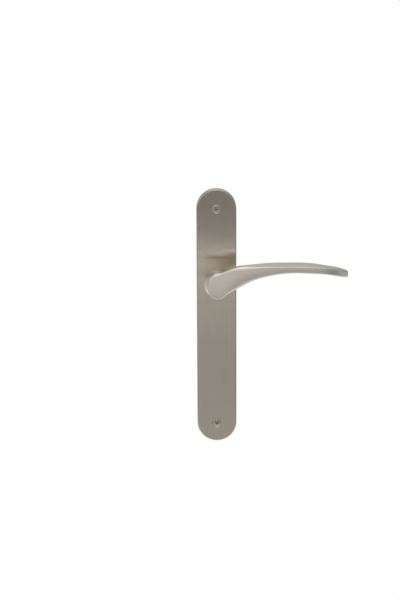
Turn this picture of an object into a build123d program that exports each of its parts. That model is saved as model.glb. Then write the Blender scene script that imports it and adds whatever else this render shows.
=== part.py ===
"""Sprung lever door handle on a long round-ended backplate.

Millimetres. The spindle axis is the Y axis and the door's face is the plane y = 0.
+X runs along the lever, +Z is up, and -Y is the side that faces the room.
"""
import os
from collections import namedtuple
from math import atan2, cos, degrees, radians, sin, sqrt, tan

from build123d import *

# Backplate
plate_length = 242.0
plate_width = 37.0
plate_thickness = 8.0
plate_edge_round = 1.0
face_wall = 2.4
side_wall = 2.4
spindle_below_top = 83.0
rib_height = 1.2
rib_width = 2.0
rib_pitch = 21.0

# Fixing screws
screw_spacing = 206.0
screw_head_radius = 4.0
screw_sink = 0.25
screw_seat_gap = 0.15
screw_shank_radius = 1.75
screw_thread_radius = 2.0
screw_hole_clearance = 0.3
screw_reach = 24.0
screw_point_length = 4.0
thread_starts_behind_plate = 0.6
cross_span = 4.6
cross_slot = 1.0
cross_depth = 1.9
cross_taper = 8.0
screw_boss_radius = 6.4

# Hub and bearing
journal_radius = 8.0
running_clearance = 0.05
seat_clearance = 0.02
key_clearance = 0.04
bush_wall = 0.95
bush_flange_radius = 10.9
bush_flange_thickness = 0.8
hub_boss_radius = 11.2
hub_boss_height = 2.6
axial_gap = 0.1

# Lever neck and head
lever_length = 119.2
front_standoff = 48.0
neck_radius = 9.2
neck_foot_gap = 0.25
neck_straight = 16.0
knuckle_radius = 11.1
knuckle_depth = 11.5
shoulder_radius = 8.6
shoulder_depth = 5.7
shoulder_slope = 1.2
head_radius = 9.5
head_centre_x = 0.8
head_centre_z = -0.7
head_side_lean = 7.8
head_underside_slope = 33.0
head_underside_from = 20.0
head_underside_run = 6.6
head_rim_round = 0.85
head_rim_depth = 6.0
tip_round = 0.7
top_arch = 0.5
corner_tension = 0.6

# Lever tail
tail_beyond_door = 2.8
flat_half_width = 6.6
clip_groove_radius = 7.2
clip_thickness = 1.0
clip_width = 2.3
clip_opening = 64.0
clip_ear_radius = 1.5
clip_ear_hole = 0.6
clip_ear_offset = 0.75
thrust_washer_thickness = 0.8
thrust_washer_radius = 11.2

# Drive washer, stops and spring
lever_travel = 45.0
drive_washer_thickness = 1.5
drive_washer_radius = 11.4
lug_width = 6.0
lug_inner_radius = 14.4
lug_outer_radius = 19.6
lug_depth = 4.0
stop_post_radius = 2.0
stop_gap = 0.3
rest_stop_radius = 15.5
travel_stop_radius = 18.6
spring_wire_radius = 0.6
spring_mean_radius = 13.0
spring_pitch = 1.3
spring_turns = 1.5
spring_bend = 1.5
spring_leg_reach = 16.6
spring_peg_radius = 1.8

# Spindle and grub screw
spindle_width = 8.0
spindle_clearance = 0.05
spindle_length = 100.0
spindle_chamfer = 0.6
socket_depth = 34.0
grub_radius = 2.5
grub_standoff = 12.0
grub_recess = 0.4
grub_key_width = 2.5
grub_key_depth = 2.4

# Sections of the lever from its head to its tip, each upright and across X.
# along is a share of the lever's length from the spindle's axis; front, back and belly_at are
# depths behind the lever's foremost plane; ridge, rear_top, foot and belly are heights.
# ridge: the crease between top and front; rear_top: the top at the back; foot: where the front
# face turns under; belly: the lowest line. The front face bulges by crown and leans back by lean
# degrees. ridge_round and back_round are how far the rounds of the ridge and of the back reach.
Section = namedtuple(
    "Section",
    "along front back ridge rear_top foot belly belly_at crown lean ridge_round back_round",
)
sections = [
    Section(-0.100, 0.6, 12.0, 4.8, 5.6, -9.3, -13.5, 5.0, 0.45, 10.5, 1.3, 6.5),
    Section(0.026, 0.0, 13.0, 12.5, 13.7, -8.4, -12.9, 5.0, 0.50, 10.5, 1.3, 5.5),
    Section(0.085, 0.0, 14.0, 14.8, 16.2, -3.0, -5.5, 6.0, 0.45, 9.5, 1.3, 8.5),
    Section(0.169, 0.0, 14.8, 17.4, 19.3, 4.0, -0.4, 7.0, 0.40, 8.0, 1.2, 9.5),
    Section(0.254, 0.0, 16.0, 18.6, 20.3, 8.6, 4.9, 7.0, 0.26, 7.0, 0.9, 9.0),
    Section(0.372, 0.0, 16.8, 19.3, 21.0, 12.0, 10.0, 4.5, 0.15, 6.0, 0.6, 5.5),
    Section(0.541, 0.0, 17.0, 19.5, 21.0, 14.9, 13.4, 1.8, 0.08, 6.0, 0.5, 3.3),
    Section(0.709, 0.0, 17.0, 19.1, 20.4, 14.6, 13.0, 1.8, 0.08, 6.0, 0.5, 3.3),
    Section(0.828, 0.4, 17.0, 18.0, 18.3, 13.4, 11.9, 2.4, 0.08, 6.0, 0.5, 3.0),
    Section(0.903, 2.6, 17.2, 16.2, 16.8, 11.8, 10.0, 4.8, 0.08, 6.0, 0.5, 2.9),
    Section(0.958, 7.0, 17.8, 14.1, 14.8, 10.0, 8.2, 9.2, 0.08, 6.0, 0.5, 2.6),
    Section(1.000, 12.4, 18.6, 12.1, 12.7, 8.4, 7.0, 14.2, 0.08, 6.0, 0.5, 2.0),
]

# Levels along Y, from the room side to the door and beyond
plate_front = -plate_thickness
wall_back = plate_front + face_wall
hub_back = wall_back + hub_boss_height
bush_back = hub_back + bush_flange_thickness
drive_front = bush_back + axial_gap
drive_back = drive_front + drive_washer_thickness
thrust_front = drive_back + axial_gap
thrust_back = thrust_front + thrust_washer_thickness
clip_front = thrust_back + axial_gap
clip_back = clip_front + clip_thickness
neck_foot = plate_front - neck_foot_gap
lever_front = plate_front - front_standoff
socket_floor = plate_front - socket_depth

plate_top = spindle_below_top
plate_centre_z = plate_top - plate_length / 2
screw_heights = (plate_centre_z + screw_spacing / 2, plate_centre_z - screw_spacing / 2)
hub_hole_radius = journal_radius + running_clearance + bush_wall

# The drive lug's flank, the spring's legs and the stops share one direction at rest:
# straight down, less half the travel, so that the lug swings evenly about the vertical.
lug_low = -spring_bend + spring_wire_radius + axial_gap
lug_high = lug_low + lug_width
lug_lead = degrees(atan2((lug_low + lug_high) / 2, (lug_inner_radius + lug_outer_radius) / 2))
drive_angle = -90.0 + lever_travel / 2 - lug_lead
leg_angle = drive_angle + 360.0 * spring_turns


def facing(y):
    """Sketch plane at depth y, seen from the room: its x is X, its y is Z, its normal is -Y."""
    return Plane(origin=(0, y, 0), x_dir=(1, 0, 0), z_dir=(0, -1, 0))


def slab(sketch, y_back, y_front):
    """A front-view sketch made solid between two depths."""
    return extrude(facing(y_back) * sketch, y_back - y_front)


def rod(x, z, radius, y_back, y_front):
    """A round bar along Y."""
    return slab(Pos(x, z) * Circle(radius), y_back, y_front)


def turned(profile_points, axis=Axis.Y):
    """A solid of revolution from (radius, y) points."""
    return revolve(make_face(Polyline(*profile_points, close=True)), axis)


def polar(angle, radial, across=0.0):
    """(x, z) of a point at a radius along an angle, and a distance across it, anticlockwise."""
    a = radians(angle)
    return (radial * cos(a) - across * sin(a), radial * sin(a) + across * cos(a))


def stadium(length, width):
    return Pos(0, plate_centre_z) * SlotOverall(length, width, rotation=90)


def make_backplate():
    body = slab(stadium(plate_length, plate_width), 0, plate_front)
    front = body.faces().sort_by(Axis.Y)[0]
    body = fillet(front.edges(), plate_edge_round)
    inner_length = plate_length - 2 * side_wall
    inner_width = plate_width - 2 * side_wall
    body -= slab(stadium(inner_length, inner_width), 0, wall_back)

    # Low ribs across the hollow, clear of the hub and of the screw bosses
    rib_back = wall_back + rib_height
    reach = lug_outer_radius + stop_post_radius
    for z in rib_heights(reach):
        rib = Pos(0, z) * Rectangle(inner_width, rib_width)
        body += slab(rib, rib_back, wall_back)

    for z in screw_heights:
        body += rod(0, z, screw_boss_radius, 0, wall_back)
    body += rod(0, 0, hub_boss_radius, hub_back, wall_back)
    for x, z, radius, height in posts():
        body += rod(x, z, radius, wall_back + height, wall_back)

    body -= rod(0, 0, hub_hole_radius, hub_back, plate_front)
    for z in screw_heights:
        body -= rod(0, z, screw_thread_radius + screw_hole_clearance, 0, plate_front)
        body -= Pos(0, 0, z) * turned(countersink())
    return body


def rib_heights(reach):
    """Heights of the ribs, set out from the hub towards both ends."""
    top_limit = screw_heights[0] - screw_boss_radius - rib_width
    bottom_limit = screw_heights[1] + screw_boss_radius + rib_width
    heights = []
    z = reach + rib_width
    while z < top_limit:
        heights.append(z)
        z += rib_pitch
    z = -reach - rib_width
    while z > bottom_limit:
        heights.append(z)
        z -= rib_pitch
    return heights


def countersink():
    """Half section of the 90 degree seat for a screw head, wider than the head by the seat gap."""
    mouth = screw_head_radius + screw_sink + screw_seat_gap
    return [(0, plate_front), (mouth, plate_front), (0, plate_front + mouth)]


def posts():
    """(x, z, radius, height) of the cast posts: rest stop, travel stop and spring peg."""
    stop_offset = stop_gap + stop_post_radius
    rest = polar(drive_angle, rest_stop_radius, lug_high + stop_offset)
    travel = polar(drive_angle - lever_travel, travel_stop_radius, lug_low - stop_offset)
    peg_across = spring_bend - spring_wire_radius - axial_gap - spring_peg_radius
    peg_radial = (spring_mean_radius + spring_bend + spring_leg_reach) / 2
    peg = polar(leg_angle, peg_radial, peg_across)
    stop_height = -wall_back - 2 * axial_gap
    peg_height = spring_wire_radius * 2 + 2 * axial_gap
    return [
        (*rest, stop_post_radius, stop_height),
        (*travel, stop_post_radius, stop_height),
        (*peg, spring_peg_radius, peg_height),
    ]


def make_neck_bush():
    bore = journal_radius + running_clearance
    outer = hub_hole_radius - seat_clearance
    return turned([
        (bore, plate_front),
        (outer, plate_front),
        (outer, hub_back),
        (bush_flange_radius, hub_back),
        (bush_flange_radius, bush_back),
        (bore, bush_back),
    ])


def make_fixing_screws():
    """Both countersunk screws, as one group of two solids."""
    return [Pos(0, 0, z) * make_screw() for z in screw_heights]


def make_screw():
    head_face = plate_front + screw_sink
    cone_end = head_face + screw_head_radius - screw_shank_radius
    thread_start = thread_starts_behind_plate
    point_start = screw_reach - screw_point_length
    screw = turned([
        (0, head_face),
        (screw_head_radius, head_face),
        (screw_shank_radius, cone_end),
        (screw_shank_radius, thread_start),
        (screw_thread_radius, thread_start),
        (screw_thread_radius, point_start),
        (0, screw_reach),
    ])
    for turn in (0, 90):
        slot = Rotation(0, 0, turn) * Rectangle(cross_span, cross_slot)
        screw -= extrude(facing(head_face) * slot, -cross_depth, taper=cross_taper)
    return screw


def section_wire(s):
    """One closed outline across the lever, clockwise from the ridge as seen from its tip.

    It is made of the front face, the turn under it, the underside, the back, the top and the
    small round of the ridge. All its joints are smooth.
    """
    k = corner_tension

    def at(depth, z):
        return (s.along * lever_length, lever_front + depth, z)

    def between(a, b, t):
        return tuple(p + (q - p) * t for p, q in zip(a, b))

    lean = tan(radians(s.lean))
    drop = s.ridge - s.foot
    middle = (s.belly + s.rear_top) / 2
    ridge = (s.front + lean * drop, s.ridge)
    foot = (s.front, s.foot)
    bulge = (s.front + lean * drop / 2 - 2 * s.crown, s.foot + drop / 2)
    belly = (s.belly_at, s.belly)
    back = (s.back, middle)
    rear = (s.back - s.back_round, s.rear_top)
    arch = between(rear, ridge, 0.5)
    arch = (arch[0], arch[1] + top_arch)
    face_length = sqrt((bulge[0] - ridge[0])**2 + (bulge[1] - ridge[1])**2)
    top_length = sqrt((arch[0] - ridge[0])**2 + (arch[1] - ridge[1])**2)
    face_start = between(ridge, bulge, s.ridge_round / face_length)
    top_end = between(ridge, arch, s.ridge_round / top_length)
    turn = (s.foot - s.belly) * k / (bulge[1] - s.foot)
    rear_turn = s.back_round * k / (arch[0] - rear[0])

    return Wire([
        Bezier(at(*face_start), at(*bulge), at(*foot)),
        Bezier(
            at(*foot),
            at(*between(foot, bulge, -turn)),
            at(*between(belly, (s.front, s.belly), k)),
            at(*belly),
        ),
        Bezier(
            at(*belly),
            at(*between(belly, (s.back, s.belly), k)),
            at(*between(back, (s.back, s.belly), k)),
            at(*back),
        ),
        Bezier(
            at(*back),
            at(*between(back, (s.back, s.rear_top), k)),
            at(*between(rear, arch, rear_turn)),
            at(*rear),
        ),
        Bezier(at(*rear), at(*arch), at(*top_end)),
        Bezier(at(*top_end), at(*ridge), at(*face_start)),
    ])


def head_touch():
    """Where the underside leaves the head's circle, in the front view."""
    start = radians(head_underside_from)
    return head_centre_x + head_radius * sin(start), head_centre_z - head_radius * cos(start)


def head_outline():
    """Front-view region that gives the head its round end and its upper left corner.

    A tangent leaves the circle up to the corner. The underside leaves it at a slight angle, and
    there the round of the rim ends.
    """
    slope = radians(head_underside_slope)
    lean = radians(head_side_lean)
    circle = Pos(head_centre_x, head_centre_z) * Circle(head_radius)
    touch = head_touch()
    side = (head_centre_x - head_radius * cos(lean), head_centre_z + head_radius * sin(lean))
    far_x = lever_length + head_radius
    high_z = max(s.rear_top for s in sections) + head_radius
    low_z = sections[0].belly - head_radius
    turn = (touch[0] + head_underside_run * cos(slope), touch[1] + head_underside_run * sin(slope))
    under = make_face(Polyline(touch, turn, (turn[0], low_z), (touch[0], low_z), close=True))
    beyond = make_face(Polyline(
        (head_centre_x, head_centre_z),
        touch,
        turn,
        (turn[0], low_z),
        (far_x, low_z),
        (far_x, high_z),
        (side[0] + (high_z - side[1]) * tan(lean), high_z),
        side,
        close=True,
    ))
    return circle - under + beyond


def make_blade():
    """Head and arm: the lofted sections, trimmed to the head's outline, with soft edges."""
    blade = loft([make_face(section_wire(s)) for s in sections])
    blade &= slab(head_outline(), plate_front, lever_front - head_radius)
    rim_right = head_touch()[0] + head_rim_round
    rim_back = lever_front + head_rim_depth
    rim = []
    for edge in blade.edges():
        box = edge.bounding_box()
        if box.max.X < rim_right and box.max.Y < rim_back and edge.length > 2 * head_rim_round:
            rim.append(edge)
    blade = fillet(rim, head_rim_round)
    tip = [e for e in blade.edges() if e.bounding_box().min.X > lever_length - seat_clearance]
    return fillet(tip, tip_round)


def make_neck():
    """Turned neck: journal, straight foot, flare to the knuckle, and a round shoulder into the head."""
    straight_end = neck_foot - neck_straight
    knuckle_y = lever_front + knuckle_depth
    inside_y = lever_front + shoulder_depth
    tail_end = tail_beyond_door
    profile = make_face([
        Polyline(
            (0, inside_y),
            (0, tail_end),
            (journal_radius, tail_end),
            (journal_radius, neck_foot),
            (neck_radius, neck_foot),
            (neck_radius, straight_end),
        ),
        Spline(
            (neck_radius, straight_end),
            (knuckle_radius, knuckle_y),
            (shoulder_radius, inside_y),
            tangents=[(0, -1), (-1, -shoulder_slope)],
        ),
        Line((shoulder_radius, inside_y), (0, inside_y)),
    ])
    return revolve(profile, Axis.Y)


def make_lever_handle():
    lever = make_blade() + make_neck()
    tail = rod(0, 0, journal_radius, tail_beyond_door, bush_back)
    lever -= tail - flatted(0.0, tail_beyond_door, bush_back)
    groove_back = clip_back + axial_gap / 2
    groove_front = clip_front - axial_gap / 2
    lever -= ring(clip_groove_radius, journal_radius * 2, groove_back, groove_front)
    socket = spindle_width + 2 * spindle_clearance
    lever -= slab(Rectangle(socket, socket), tail_beyond_door, socket_floor)
    lever -= Pos(0, grub_y(), 0) * Rot(180, 0, 0) * Cylinder(
        grub_radius, neck_radius * 2, align=(Align.CENTER, Align.CENTER, Align.MIN)
    )
    return lever


def ring(inner, outer, y_back, y_front):
    return slab(Circle(outer) - Circle(inner), y_back, y_front)


def flatted(clearance, y_back, y_front):
    """The lever's tail between its two flats, grown by a clearance."""
    width = 2 * (flat_half_width + clearance)
    outline = Circle(journal_radius + clearance) & Rectangle(width, 4 * journal_radius)
    return slab(outline, y_back, y_front)


def grub_y():
    return plate_front - grub_standoff


def make_drive_washer():
    """Keyed washer whose arm reaches over the spring and is bent down into the lug."""
    arm_middle = (lug_low + lug_high) / 2
    direction = Rotation(0, 0, drive_angle)
    arm = direction * Pos(lug_outer_radius / 2, arm_middle) * Rectangle(lug_outer_radius, lug_width)
    lug_length = lug_outer_radius - lug_inner_radius
    lug_centre = Pos((lug_outer_radius + lug_inner_radius) / 2, arm_middle)
    lug = direction * lug_centre * Rectangle(lug_length, lug_width)
    washer = slab(Circle(drive_washer_radius) + arm, drive_back, drive_front)
    washer += slab(lug, drive_back, drive_back - lug_depth)
    return washer - flatted(key_clearance, drive_back, drive_front)


def make_thrust_washer():
    return ring(journal_radius + axial_gap, thrust_washer_radius, thrust_back, thrust_front)


def make_circlip():
    """Retaining ring with an opening at the top and a drilled ear at each end."""
    inner = clip_groove_radius + seat_clearance
    outer = inner + clip_width
    half = radians(clip_opening / 2)
    reach = outer * 2
    gap = make_face(Polyline(
        (0, 0),
        (-reach * sin(half), reach * cos(half)),
        (reach * sin(half), reach * cos(half)),
        close=True,
    ))
    outline = Circle(outer) - Circle(inner) - gap
    ear_angle = half + clip_ear_radius / outer
    for side in (-1, 1):
        ear_radial = inner + clip_ear_radius + clip_ear_offset
        ear = Pos(side * ear_radial * sin(ear_angle), ear_radial * cos(ear_angle))
        outline += ear * Circle(clip_ear_radius)
        outline -= ear * Circle(clip_ear_hole)
    outline -= Circle(inner)
    return slab(outline, clip_back, clip_front)


def make_return_spring():
    """Torsion spring: a short coil round the hub and two legs bent outwards."""
    r = spring_mean_radius
    start_y = wall_back + axial_gap + spring_wire_radius
    turn = radians(360.0 * spring_turns)
    rise = spring_pitch / radians(360.0)
    slope = Vector(0, r, rise).normalized()
    along_end = Vector(-r * sin(turn), r * cos(turn), rise).normalized()
    out_start = Vector(1, 0, 0)
    out_end = Vector(cos(turn), sin(turn), 0)
    start = Vector(r, 0, 0)
    end = Vector(r * cos(turn), r * sin(turn), spring_pitch * spring_turns)
    leg = spring_leg_reach - r - spring_bend
    half = sqrt(0.5)

    def bend(point, outward, onward):
        """Quarter arc that leaves the coil at a point and turns outwards."""
        centre = point + outward * spring_bend
        middle = centre + (onward - outward) * (spring_bend * half)
        return ThreePointArc(point, middle, centre + onward * spring_bend)

    first_bend = bend(start, out_start, slope * -1)
    last_bend = bend(end, out_end, along_end)
    leg_start = first_bend @ 1 + out_start * leg
    path = Wire([
        Line(leg_start, first_bend @ 1),
        first_bend,
        Helix(spring_pitch, spring_pitch * spring_turns, r),
        last_bend,
        Line(last_bend @ 1, last_bend @ 1 + out_end * leg),
    ])
    section = Plane(origin=leg_start, z_dir=out_start * -1) * Circle(spring_wire_radius)
    coil = sweep(section, path=path)
    x, z = polar(leg_angle, 1.0)
    return Plane(origin=(0, start_y, 0), x_dir=(x, 0, z), z_dir=(0, 1, 0)) * coil


def make_spindle():
    bar = slab(Rectangle(spindle_width, spindle_width), spindle_length, 0)
    ends = bar.faces().sort_by(Axis.Y)
    bar = chamfer(ends[0].edges() + ends[-1].edges(), spindle_chamfer)
    return Pos(0, socket_floor + axial_gap, 0) * bar


def make_grub_screw():
    """Hexagon-socket screw that presses on the underside of the spindle."""
    tip = -spindle_width / 2 - seat_clearance
    end = -sqrt(neck_radius**2 - grub_radius**2) + grub_recess
    screw = Pos(0, grub_y(), end) * Cylinder(
        grub_radius - seat_clearance, tip - end, align=(Align.CENTER, Align.CENTER, Align.MIN)
    )
    key = Plane(origin=(0, grub_y(), end), z_dir=(0, 0, 1)) * RegularPolygon(
        grub_key_width / 2, 6, major_radius=False
    )
    return screw - extrude(key, grub_key_depth)


parts = {
    "backplate": make_backplate,
    "neck_bush": make_neck_bush,
    "return_spring": make_return_spring,
    "fixing_screws": make_fixing_screws,
    "lever_handle": make_lever_handle,
    "drive_washer": make_drive_washer,
    "thrust_washer": make_thrust_washer,
    "circlip": make_circlip,
    "spindle": make_spindle,
    "grub_screw": make_grub_screw,
}

os.makedirs("parts", exist_ok=True)
for name, make in parts.items():
    shape = make()
    solids = shape if isinstance(shape, list) else [shape]
    export_step(Compound(children=[Solid(s.solid().wrapped) for s in solids]), f"parts/{name}.step")
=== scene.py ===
from math import pi, radians

import bmesh
import bpy
import numpy as np
from mathutils import Matrix


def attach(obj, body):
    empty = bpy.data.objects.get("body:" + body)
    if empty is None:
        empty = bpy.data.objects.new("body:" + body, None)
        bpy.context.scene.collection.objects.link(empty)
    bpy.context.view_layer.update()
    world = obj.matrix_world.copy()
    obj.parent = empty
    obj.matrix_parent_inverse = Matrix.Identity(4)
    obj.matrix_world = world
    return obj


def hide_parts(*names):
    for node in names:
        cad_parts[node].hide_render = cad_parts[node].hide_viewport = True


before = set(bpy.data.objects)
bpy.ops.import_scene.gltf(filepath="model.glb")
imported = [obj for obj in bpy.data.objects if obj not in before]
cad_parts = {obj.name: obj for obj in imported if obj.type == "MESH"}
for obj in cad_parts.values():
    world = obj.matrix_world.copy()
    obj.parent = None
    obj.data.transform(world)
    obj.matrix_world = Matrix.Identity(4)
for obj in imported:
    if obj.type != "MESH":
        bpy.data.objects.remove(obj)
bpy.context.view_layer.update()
scene = bpy.context.scene

# Colours, linear
NICKEL_DARK = (0.585, 0.525, 0.444, 1.0)
NICKEL_PALE = (0.705, 0.635, 0.536, 1.0)
# Painted shade: a darker nickel for the plate's rounded edge, which dims its highlight
NICKEL_EDGE_PAINTED_SHADE = (0.510, 0.462, 0.400, 1.0)
SCREW_NICKEL = (0.510, 0.460, 0.390, 1.0)
SCREW_DARK = (0.440, 0.397, 0.336, 1.0)
LEVER_DARK = (0.572, 0.528, 0.468, 1.0)
LEVER_PALE = (0.686, 0.638, 0.566, 1.0)
ZINC = (0.56, 0.56, 0.54, 1.0)
ZINC_DULL = (0.40, 0.40, 0.38, 1.0)
WIRE = (0.30, 0.30, 0.31, 1.0)
WIRE_DARK = (0.16, 0.16, 0.17, 1.0)
RAW_ZINC = (0.44, 0.44, 0.43, 1.0)
RAW_ZINC_DARK = (0.30, 0.30, 0.29, 1.0)
OXIDE = (0.030, 0.030, 0.033, 1.0)
OXIDE_WORN = (0.095, 0.093, 0.090, 1.0)
ACETAL = (0.80, 0.79, 0.74, 1.0)
ACETAL_SHADE = (0.72, 0.70, 0.64, 1.0)
FLOOR_PAINT = (0.85, 0.85, 0.84, 1.0)
WHITE = (1.0, 1.0, 1.0, 1.0)

# Places on the CAD model, in metres
MM = 0.001
PLATE_CENTRE_Z = -38.0 * MM
PLATE_STRAIGHT = 205.0 * MM
PLATE_RADIUS = 18.5 * MM
HOLLOW_RADIUS = 16.1 * MM
HOLLOW_FLOOR_Y = -5.6 * MM
SCREW_SPACING = 206.0 * MM

# Noise of the finishes: scales per metre, and the middle of its range
HAIR_ACROSS, HAIR_ALONG = 5200.0, 90.0
STREAK_ACROSS, STREAK_ALONG = 700.0, 14.0
NICKEL_CLOUD = 38.0
CASTING_MOTTLE = 520.0
ACETAL_CLOUD, ACETAL_SKIN = 260.0, 2600.0
PITS_PER_MOTTLE = 7.0
MIDDLE = 0.5
SKIN_DEPTH = 0.03 * MM

# Tones of the room, as (sine of the elevation, grey): in front, with one thin light line, and behind
FRONT_TONES = (
    (-1.0, 0.30), (-0.88, 0.52), (-0.74, 0.70), (-0.50, 0.70), (-0.38, 0.58), (-0.30, 0.46),
    (-0.26, 0.43), (-0.207, 0.55), (-0.2025, 1.25), (-0.1995, 1.25), (-0.196, 0.26), (-0.16, 0.28),
    (-0.13, 0.38), (-0.08, 0.58), (0.0, 0.70), (0.15, 0.75), (1.0, 0.80),
)
BACK_TONES = (
    (-1.0, 0.25), (-0.6, 0.7), (-0.4, 0.8), (0.0, 0.66), (0.2, 0.56), (0.4, 0.65), (1.0, 0.75),
)
DIM_SIDE, DIM_CORNER = 0.2, 0.1


class Shade:
    """One socket of a node tree: sums and products of these add Math nodes."""

    def __init__(self, tree, socket=None):
        self.tree = tree
        self.socket = socket

    def node(self, kind, settings, inputs, output=0):
        """Adds a node: its settings first, then a value or a link for each socket."""
        made = self.tree.nodes.new(kind)
        for name, value in settings.items():
            if name == "stops":
                ramp = made.color_ramp
                while len(ramp.elements) < len(value):
                    ramp.elements.new(1.0)
                for element, (place, colour) in zip(ramp.elements, value):
                    element.position = place
                    element.color = colour
            else:
                setattr(made, name, value)
        for name, value in inputs.items():
            if isinstance(value, Shade):
                self.tree.links.new(value.socket, made.inputs[name])
            else:
                made.inputs[name].default_value = value
        return Shade(self.tree, made.outputs[output] if made.outputs else None)

    def math(self, operation, a, b=0.0):
        """The Math node's operation on a and b, each a number or a Shade."""
        return self.node("ShaderNodeMath", {"operation": operation}, {0: a, 1: b})

    def __add__(self, other):
        return self.math("ADD", self, other)

    def __sub__(self, other):
        return self.math("SUBTRACT", self, other)

    def __rsub__(self, other):
        return self.math("SUBTRACT", other, self)

    def __mul__(self, other):
        return self.math("MULTIPLY", self, other)

    def mix(self, a, b):
        """Colour a where this value is 0 and colour b where it is 1."""
        return self.node(
            "ShaderNodeMix",
            {"data_type": "RGBA", "clamp_factor": True},
            {"Factor": self, 6: a, 7: b},
            2,
        )

    def ease(self, low, high):
        """0 below low, 1 above high, and smooth between them."""
        return self.node(
            "ShaderNodeMapRange",
            {"interpolation_type": "SMOOTHSTEP"},
            {"Value": self, "From Min": low, "From Max": high},
        )


def axes(tree, coordinates):
    """X, Y and Z of one output of the Texture Coordinate node."""
    place = tree.node("ShaderNodeTexCoord", {}, {}, coordinates)
    return [tree.node("ShaderNodeSeparateXYZ", {}, {"Vector": place}, axis) for axis in "XYZ"]


def direct_rays(tree):
    """Three values, each 1 for one kind of ray: from the camera, mirrored, or passed through."""
    kinds = ("Is Camera Ray", "Is Glossy Ray", "Is Transmission Ray")
    return [tree.node("ShaderNodeLightPath", {}, {}, kind) for kind in kinds]


def finish(name, recipe, metallic, **constants):
    """A material whose recipe takes the tree and gives the varying sockets of its shader."""
    material = bpy.data.materials.new(name)
    material.use_nodes = True
    material.node_tree.nodes.clear()
    tree = Shade(material.node_tree)
    sockets = recipe(tree)
    sockets["Metallic"] = metallic
    sockets.update(constants)
    surface = tree.node("ShaderNodeBsdfPrincipled", {}, sockets)
    tree.node("ShaderNodeOutputMaterial", {}, {"Surface": surface})
    return material


def even(scale):
    """The same noise scale along X, Y and Z."""
    return (scale, scale, scale)


def grain(tree, scale, detail=2.0, roughness=0.5):
    """Noise on Object coordinates, with its own scale per metre along X, Y and Z."""
    place = tree.node("ShaderNodeTexCoord", {}, {}, "Object")
    stretched = tree.node("ShaderNodeMapping", {}, {"Vector": place, "Scale": scale})
    return tree.node(
        "ShaderNodeTexNoise",
        {},
        {"Vector": stretched, "Scale": 1.0, "Detail": detail, "Roughness": roughness},
    )


def relief(tree, height, strength, depth):
    """A normal for bumps of the given height, where 1 stands for depth metres."""
    return tree.node("ShaderNodeBump", {}, {"Height": height, "Strength": strength, "Distance": depth})


def brushed_nickel(dark, pale, across, along, rough, bite):
    """Satin nickel: hairlines along the brushing, broad faint streaks and slow cloudy tone.

    across and along are 1 on the axes that lie across and along the brushing, and 0 on the others.
    """

    def drawn(scale_across, scale_along):
        return tuple(a * scale_across + b * scale_along for a, b in zip(across, along))

    def recipe(tree):
        hair = grain(tree, drawn(HAIR_ACROSS, HAIR_ALONG), detail=3.0, roughness=0.6)
        streak = grain(tree, drawn(STREAK_ACROSS, STREAK_ALONG))
        cloud = grain(tree, even(NICKEL_CLOUD))
        tone = (hair - MIDDLE) * 0.35 + (streak - MIDDLE) * 0.5 + (cloud - MIDDLE) * 0.35 + MIDDLE
        return {
            "Base Color": tone.mix(dark, pale),
            "Roughness": (hair - MIDDLE) * 0.08 + (cloud - MIDDLE) * 0.04 + rough,
            "Normal": relief(tree, hair * 0.7 + streak * 0.3, strength=1.0, depth=bite),
        }

    return recipe


def dull_metal(pale, dark, scale, rough):
    """Plated steel: a crystalline mottle and fine pits."""
    rough_range = 0.18

    def recipe(tree):
        mottle = grain(tree, even(scale), detail=4.0, roughness=0.6)
        pits = grain(tree, even(scale * PITS_PER_MOTTLE))
        return {
            "Base Color": mottle.ease(0.3, 0.7).mix(dark, pale),
            "Roughness": mottle * rough_range + (rough - rough_range / 2),
            "Normal": relief(tree, pits + mottle, strength=0.25, depth=SKIN_DEPTH),
        }

    return recipe


def moulded(tree):
    """Natural acetal: slightly uneven tone and a fine moulded texture."""
    cloud = grain(tree, even(ACETAL_CLOUD), detail=3.0)
    skin = grain(tree, even(ACETAL_SKIN))
    smoothest, rough_range = 0.38, 0.12
    return {
        "Base Color": cloud.ease(0.35, 0.65).mix(ACETAL_SHADE, ACETAL),
        "Roughness": cloud * rough_range + smoothest,
        "Normal": relief(tree, skin, strength=0.2, depth=SKIN_DEPTH),
    }


def cast_plate(tree):
    """Satin nickel on the outside of the plate, and the bare zinc casting in its hollow back.

    The nickel is a little rougher at the plate's edge, and darkened there by painted shade that dims the
    edge's highlight.
    """
    brushing = brushed_nickel(
        NICKEL_DARK, NICKEL_PALE, across=(1, 1, 0), along=(0, 0, 1), rough=0.14, bite=0.09 * MM
    )
    sockets = brushing(tree)
    x, y, z = axes(tree, "Object")
    past_end = tree.math("MAXIMUM", tree.math("ABSOLUTE", z - PLATE_CENTRE_Z) - PLATE_STRAIGHT / 2, 0.0)
    reach = tree.math("SQRT", x * x + past_end * past_end)

    # Bare metal is inside the hollow's wall and begins a little in front of its floor
    blur, begins, full = 0.2 * MM, 1.2 * MM, 0.6 * MM
    within = 1.0 - reach.ease(HOLLOW_RADIUS - blur, HOLLOW_RADIUS + blur)
    bare = within * y.ease(HOLLOW_FLOOR_Y - begins, HOLLOW_FLOOR_Y - full)
    mottle = grain(tree, even(CASTING_MOTTLE), detail=5.0, roughness=0.65)
    casting = mottle.ease(0.3, 0.7).mix(RAW_ZINC_DARK, RAW_ZINC)

    # The rougher edge, with its painted shade, grows between these distances from the outline
    inner, outer = 1.2 * MM, 0.5 * MM
    edge = reach.ease(PLATE_RADIUS - inner, PLATE_RADIUS - outer)
    edge_rough, casting_rough, casting_range = 0.1, 0.2, 0.2
    added = edge * edge_rough + bare * (mottle * casting_range + casting_rough)
    # Painted shade: near the outline the nickel turns to the darker edge colour, dimming the highlight on
    # the rounding
    sockets["Base Color"] = bare.mix(edge.mix(sockets["Base Color"], NICKEL_EDGE_PAINTED_SHADE), casting)
    sockets["Roughness"] = sockets["Roughness"] + added
    return sockets


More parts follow.
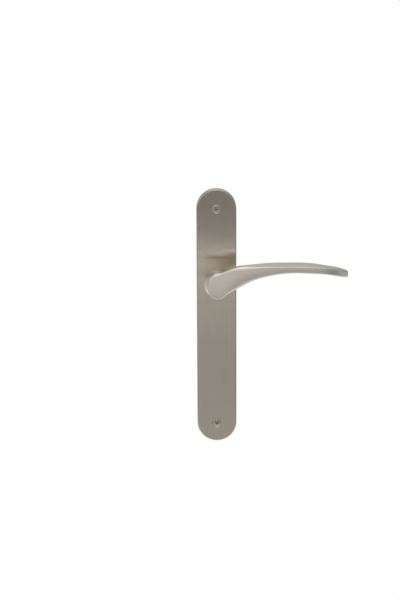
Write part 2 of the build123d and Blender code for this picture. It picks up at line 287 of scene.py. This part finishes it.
def ringed_mesh(name, rings, first, last):
    """A closed surface from rings[row, column, xyz], round by column, with a point at each end."""
    rows, columns = rings.shape[:2]
    points = np.concatenate([rings.reshape(-1, 3), np.array([first, last])])
    row, column = np.meshgrid(np.arange(rows - 1), np.arange(columns), indexing="ij")
    here = row * columns + column
    beside = row * columns + (column + 1) % columns
    quads = np.stack([here, here + columns, beside + columns, beside], axis=-1).reshape(-1, 4)
    edge = np.arange(columns)
    turn = (edge + 1) % columns
    foot = (rows - 1) * columns
    start = np.stack([np.full(columns, rows * columns), edge, turn], axis=-1)
    end = np.stack([foot + edge, np.full(columns, rows * columns + 1), foot + turn], axis=-1)
    mesh = bpy.data.meshes.new(name)
    mesh.from_pydata(points.tolist(), [], quads.tolist() + start.tolist() + end.tolist())
    return mesh


def screw_rings(centre_z):
    """Rings of one raised countersunk wood screw, from its crown to its point.

    On the head, depth = face - crown * (1 - (r / head)^2) + recess, where the recess is a cross whose
    arms slope in from their sides and ends. Behind it come the 90 degree cone, the shank, and a thread
    whose radius is core + height * tooth(y / pitch - angle / 2 pi), with tooth a blunt triangle.
    """
    # Lengths in mm, along the screw from the door's face
    head, crown, face, rim_width, rim_depth = 4.0, 0.45, -7.75, 0.12, 0.14
    arm_half_width, arm_side_slope, arm_reach, arm_end_slope = 0.62, 0.3, 2.3, 1.1
    recess_depth, recess_turn, first_radius = 1.3, pi / 5, 0.06
    shank, core, height, pitch, tooth_half_width, tooth_top = 1.75, 1.35, 0.62, 1.5, 0.32, 0.9
    thread_from, thread_to, point, blunt = 0.6, 20.0, 24.0, 0.15
    columns, head_rows, rim_rows, cone_rows, shank_rows, thread_rows = 128, 44, 5, 8, 5, 250

    angle = np.linspace(0.0, 2.0 * pi, columns, endpoint=False)[None, :]

    def rows(start, stop, count):
        """Values from start to stop by row, the same in every column."""
        return np.linspace(start, stop, count)[:, None] * np.ones_like(angle)

    r = rows(first_radius, head - rim_width, head_rows)
    u, v = np.abs(r * np.cos(angle + recess_turn)), np.abs(r * np.sin(angle + recess_turn))
    along, across = np.maximum(u, v), np.minimum(u, v)
    sides = np.clip((arm_half_width - across) / arm_side_slope, 0.0, 1.0)
    ends = np.clip((arm_reach - along) / arm_end_slope, 0.0, 1.0)
    recess = recess_depth * sides * ends
    top = face - crown * (1.0 - (r / head)**2) + recess

    rim = rows(0.0, 0.5 * pi, rim_rows)
    rim_r = head - rim_width + rim_width * np.sin(rim)
    rim_y = face + rim_depth - rim_depth * np.cos(rim)

    cone = rows(0.0, 1.0, cone_rows)[1:]
    cone_r = head + (shank - head) * cone
    cone_y = face + rim_depth + (head - shank - rim_depth) * cone

    plain = rows(0.0, 1.0, shank_rows)[1:]
    plain_y = cone_y[-1] + (thread_from - cone_y[-1]) * plain
    plain_r = np.full_like(plain_y, shank)

    y = rows(thread_from, point - blunt, thread_rows)[1:]
    phase = (y / pitch - angle / (2.0 * pi)) % 1.0
    tooth = np.clip(1.0 - np.abs(phase - 0.5) / tooth_half_width, 0.0, tooth_top)
    taper = np.clip((point - y) / (point - thread_to), 0.0, 1.0)
    fade = np.clip((y - thread_from) / pitch, 0.0, 1.0)
    thread_r = (core + (shank - core) * (1.0 - fade) + height * tooth * fade) * taper

    radius = np.concatenate([r, rim_r, cone_r, plain_r, thread_r])
    depth = np.concatenate([top, rim_y, cone_y, plain_y, y])
    rings = np.stack([radius * np.cos(angle), depth, radius * np.sin(angle)], axis=-1) * MM
    rings[..., 2] += centre_z
    first = (0.0, top[0].mean() * MM, centre_z)
    last = (0.0, point * MM, centre_z)
    return rings, first, last


def fixing_screws(material):
    """Both screws as one piece in place of their plain solids."""
    sharp_from = radians(35.0)
    mesh = bpy.data.meshes.new("fixing_screws_threaded")
    made = bmesh.new()
    for side in (1.0, -1.0):
        one = ringed_mesh("one_screw", *screw_rings(PLATE_CENTRE_Z + side * SCREW_SPACING / 2))
        made.from_mesh(one)
        bpy.data.meshes.remove(one)
    made.to_mesh(mesh)
    made.free()
    mesh.polygons.foreach_set("use_smooth", np.ones(len(mesh.polygons), dtype=bool))
    mesh.set_sharp_from_angle(angle=sharp_from)
    mesh.materials.append(material)
    piece = bpy.data.objects.new("fixing_screws_threaded", mesh)
    scene.collection.objects.link(piece)
    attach(piece, "plate")
    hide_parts("fixing_screws")


def dress_nodes():
    """A finish for every CAD node, and the screws with their thread."""
    plate = finish("plate_satin_nickel", cast_plate, metallic=1.0, Anisotropic=1.0)
    lever_brushing = brushed_nickel(
        LEVER_DARK, LEVER_PALE, across=(0, 1, 1), along=(1, 0, 0), rough=0.31, bite=0.0012 * MM
    )
    lever = finish("lever_satin_nickel", lever_brushing, metallic=1.0)
    screw_plating = dull_metal(SCREW_NICKEL, SCREW_DARK, scale=900.0, rough=0.3)
    screw = finish("screw_nickel", screw_plating, metallic=1.0)
    bright_zinc = finish("bright_zinc", dull_metal(ZINC, ZINC_DULL, scale=420.0, rough=0.34), metallic=1.0)
    wire = finish("spring_wire", dull_metal(WIRE, WIRE_DARK, scale=1500.0, rough=0.36), metallic=1.0)
    black = finish("black_oxide", dull_metal(OXIDE_WORN, OXIDE, scale=1300.0, rough=0.42), metallic=0.6)
    acetal = finish("acetal", moulded, metallic=0.0)
    finishes = {
        "backplate": plate,
        "lever_handle": lever,
        "neck_bush": acetal,
        "return_spring": wire,
        "drive_washer": bright_zinc,
        "thrust_washer": bright_zinc,
        "spindle": bright_zinc,
        "circlip": black,
        "grub_screw": black,
    }
    for node, material in finishes.items():
        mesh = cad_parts[node].data
        mesh.materials.clear()
        mesh.materials.append(material)
    fixing_screws(screw)


def studio():
    """The room that the metal mirrors, toned by height, and white where the camera sees it.

    The right is dim, less so at its far end and not near the floor. The corner high behind the handle
    on the left is dim too. Low behind the handle, mirrored and passed rays see the white as well.
    """
    world = bpy.data.worlds.new("studio")
    scene.world = world
    world.use_nodes = True
    world.node_tree.nodes.clear()
    tree = Shade(world.node_tree)
    side, depth, height = axes(tree, "Generated")

    def grey(v):
        return (v, v, v, 1.0)

    def by_height(tones):
        """Grey by the sine of the elevation, which the ramp takes from 0 to 1."""
        return tree.node(
            "ShaderNodeValToRGB",
            {"stops": [(0.5 + 0.5 * sine, grey(v)) for sine, v in tones]},
            {"Fac": height * 0.5 + 0.5},
        )

    left, behind, high = 1.0 - side.ease(-0.35, -0.1), depth.ease(0.0, 0.35), height.ease(0.2, 0.5)
    back = (left * behind * high * 0.8).mix(by_height(BACK_TONES), grey(DIM_CORNER))
    walls = depth.ease(-0.45, 0.15).mix(by_height(FRONT_TONES), back)
    right, far_right, above_floor = side.ease(0.05, 0.5), side.ease(0.8, 0.97), height.ease(-0.6, -0.3)
    room = (right * (0.6 - far_right * 0.4) * above_floor).mix(walls, grey(DIM_SIDE))
    backdrop = depth.ease(0.9, 0.97) * (1.0 - height.ease(-0.10, 0.05))
    camera_ray, glossy_ray, transmission_ray = direct_rays(tree)
    seen = (camera_ray + (glossy_ray + transmission_ray) * backdrop).mix(room, WHITE)
    background = tree.node("ShaderNodeBackground", {}, {"Color": seen, "Strength": 1.0})
    tree.node("ShaderNodeOutputWorld", {}, {"Surface": background})


def floor():
    """A pale floor well below the handle, white to the camera and in reflections."""
    half, near, far, level = 0.9, -0.35, 1.6, -0.42
    corners = [(-half, near, level), (half, near, level), (half, far, level), (-half, far, level)]
    mesh = bpy.data.meshes.new("floor")
    mesh.from_pydata(corners, [], [(0, 1, 2, 3)])
    piece = bpy.data.objects.new("floor", mesh)
    scene.collection.objects.link(piece)
    material = bpy.data.materials.new("floor_white")
    material.use_nodes = True
    material.node_tree.nodes.clear()
    tree = Shade(material.node_tree)
    camera_ray, glossy_ray, transmission_ray = direct_rays(tree)
    direct = tree.math("MINIMUM", camera_ray + glossy_ray + transmission_ray, 1.0)
    white = tree.node("ShaderNodeEmission", {}, {"Color": WHITE, "Strength": 1.0})
    paint = tree.node("ShaderNodeBsdfDiffuse", {}, {"Color": FLOOR_PAINT})
    surface = tree.node("ShaderNodeMixShader", {}, {0: direct, 1: paint, 2: white})
    tree.node("ShaderNodeOutputMaterial", {}, {"Surface": surface})
    mesh.materials.append(material)


def overhead_panel():
    """A square lamp straight above the handle, facing down, with its size in metres and power in watts."""
    height, size, power = 1.1, 1.2, 3.4
    light = bpy.data.lights.new("overhead_panel", "AREA")
    light.shape = "SQUARE"
    light.size = size
    light.energy = power
    piece = bpy.data.objects.new("overhead_panel", light)
    scene.collection.objects.link(piece)
    piece.location = (0.0, 0.0, height)


def camera():
    """The photograph's viewpoint: a long lens, a little above the handle and to its left."""
    place = (-0.0233, -1.558, 0.3399)
    yaw = Matrix.Rotation(radians(-0.287), 4, "Z")
    pitch = Matrix.Rotation(radians(90.0 - 13.122), 4, "X")
    roll = Matrix.Rotation(-0.0054, 4, "Z")
    data = bpy.data.cameras.new("camera")
    data.sensor_fit = "AUTO"
    data.sensor_width = 36.0
    data.lens = 102.2
    data.clip_start = 0.05
    piece = bpy.data.objects.new("camera", data)
    scene.collection.objects.link(piece)
    piece.matrix_world = Matrix.Translation(place) @ yaw @ pitch @ roll
    scene.camera = piece


dress_nodes()
studio()
floor()
overhead_panel()
camera()
scene.view_settings.view_transform = "Standard"
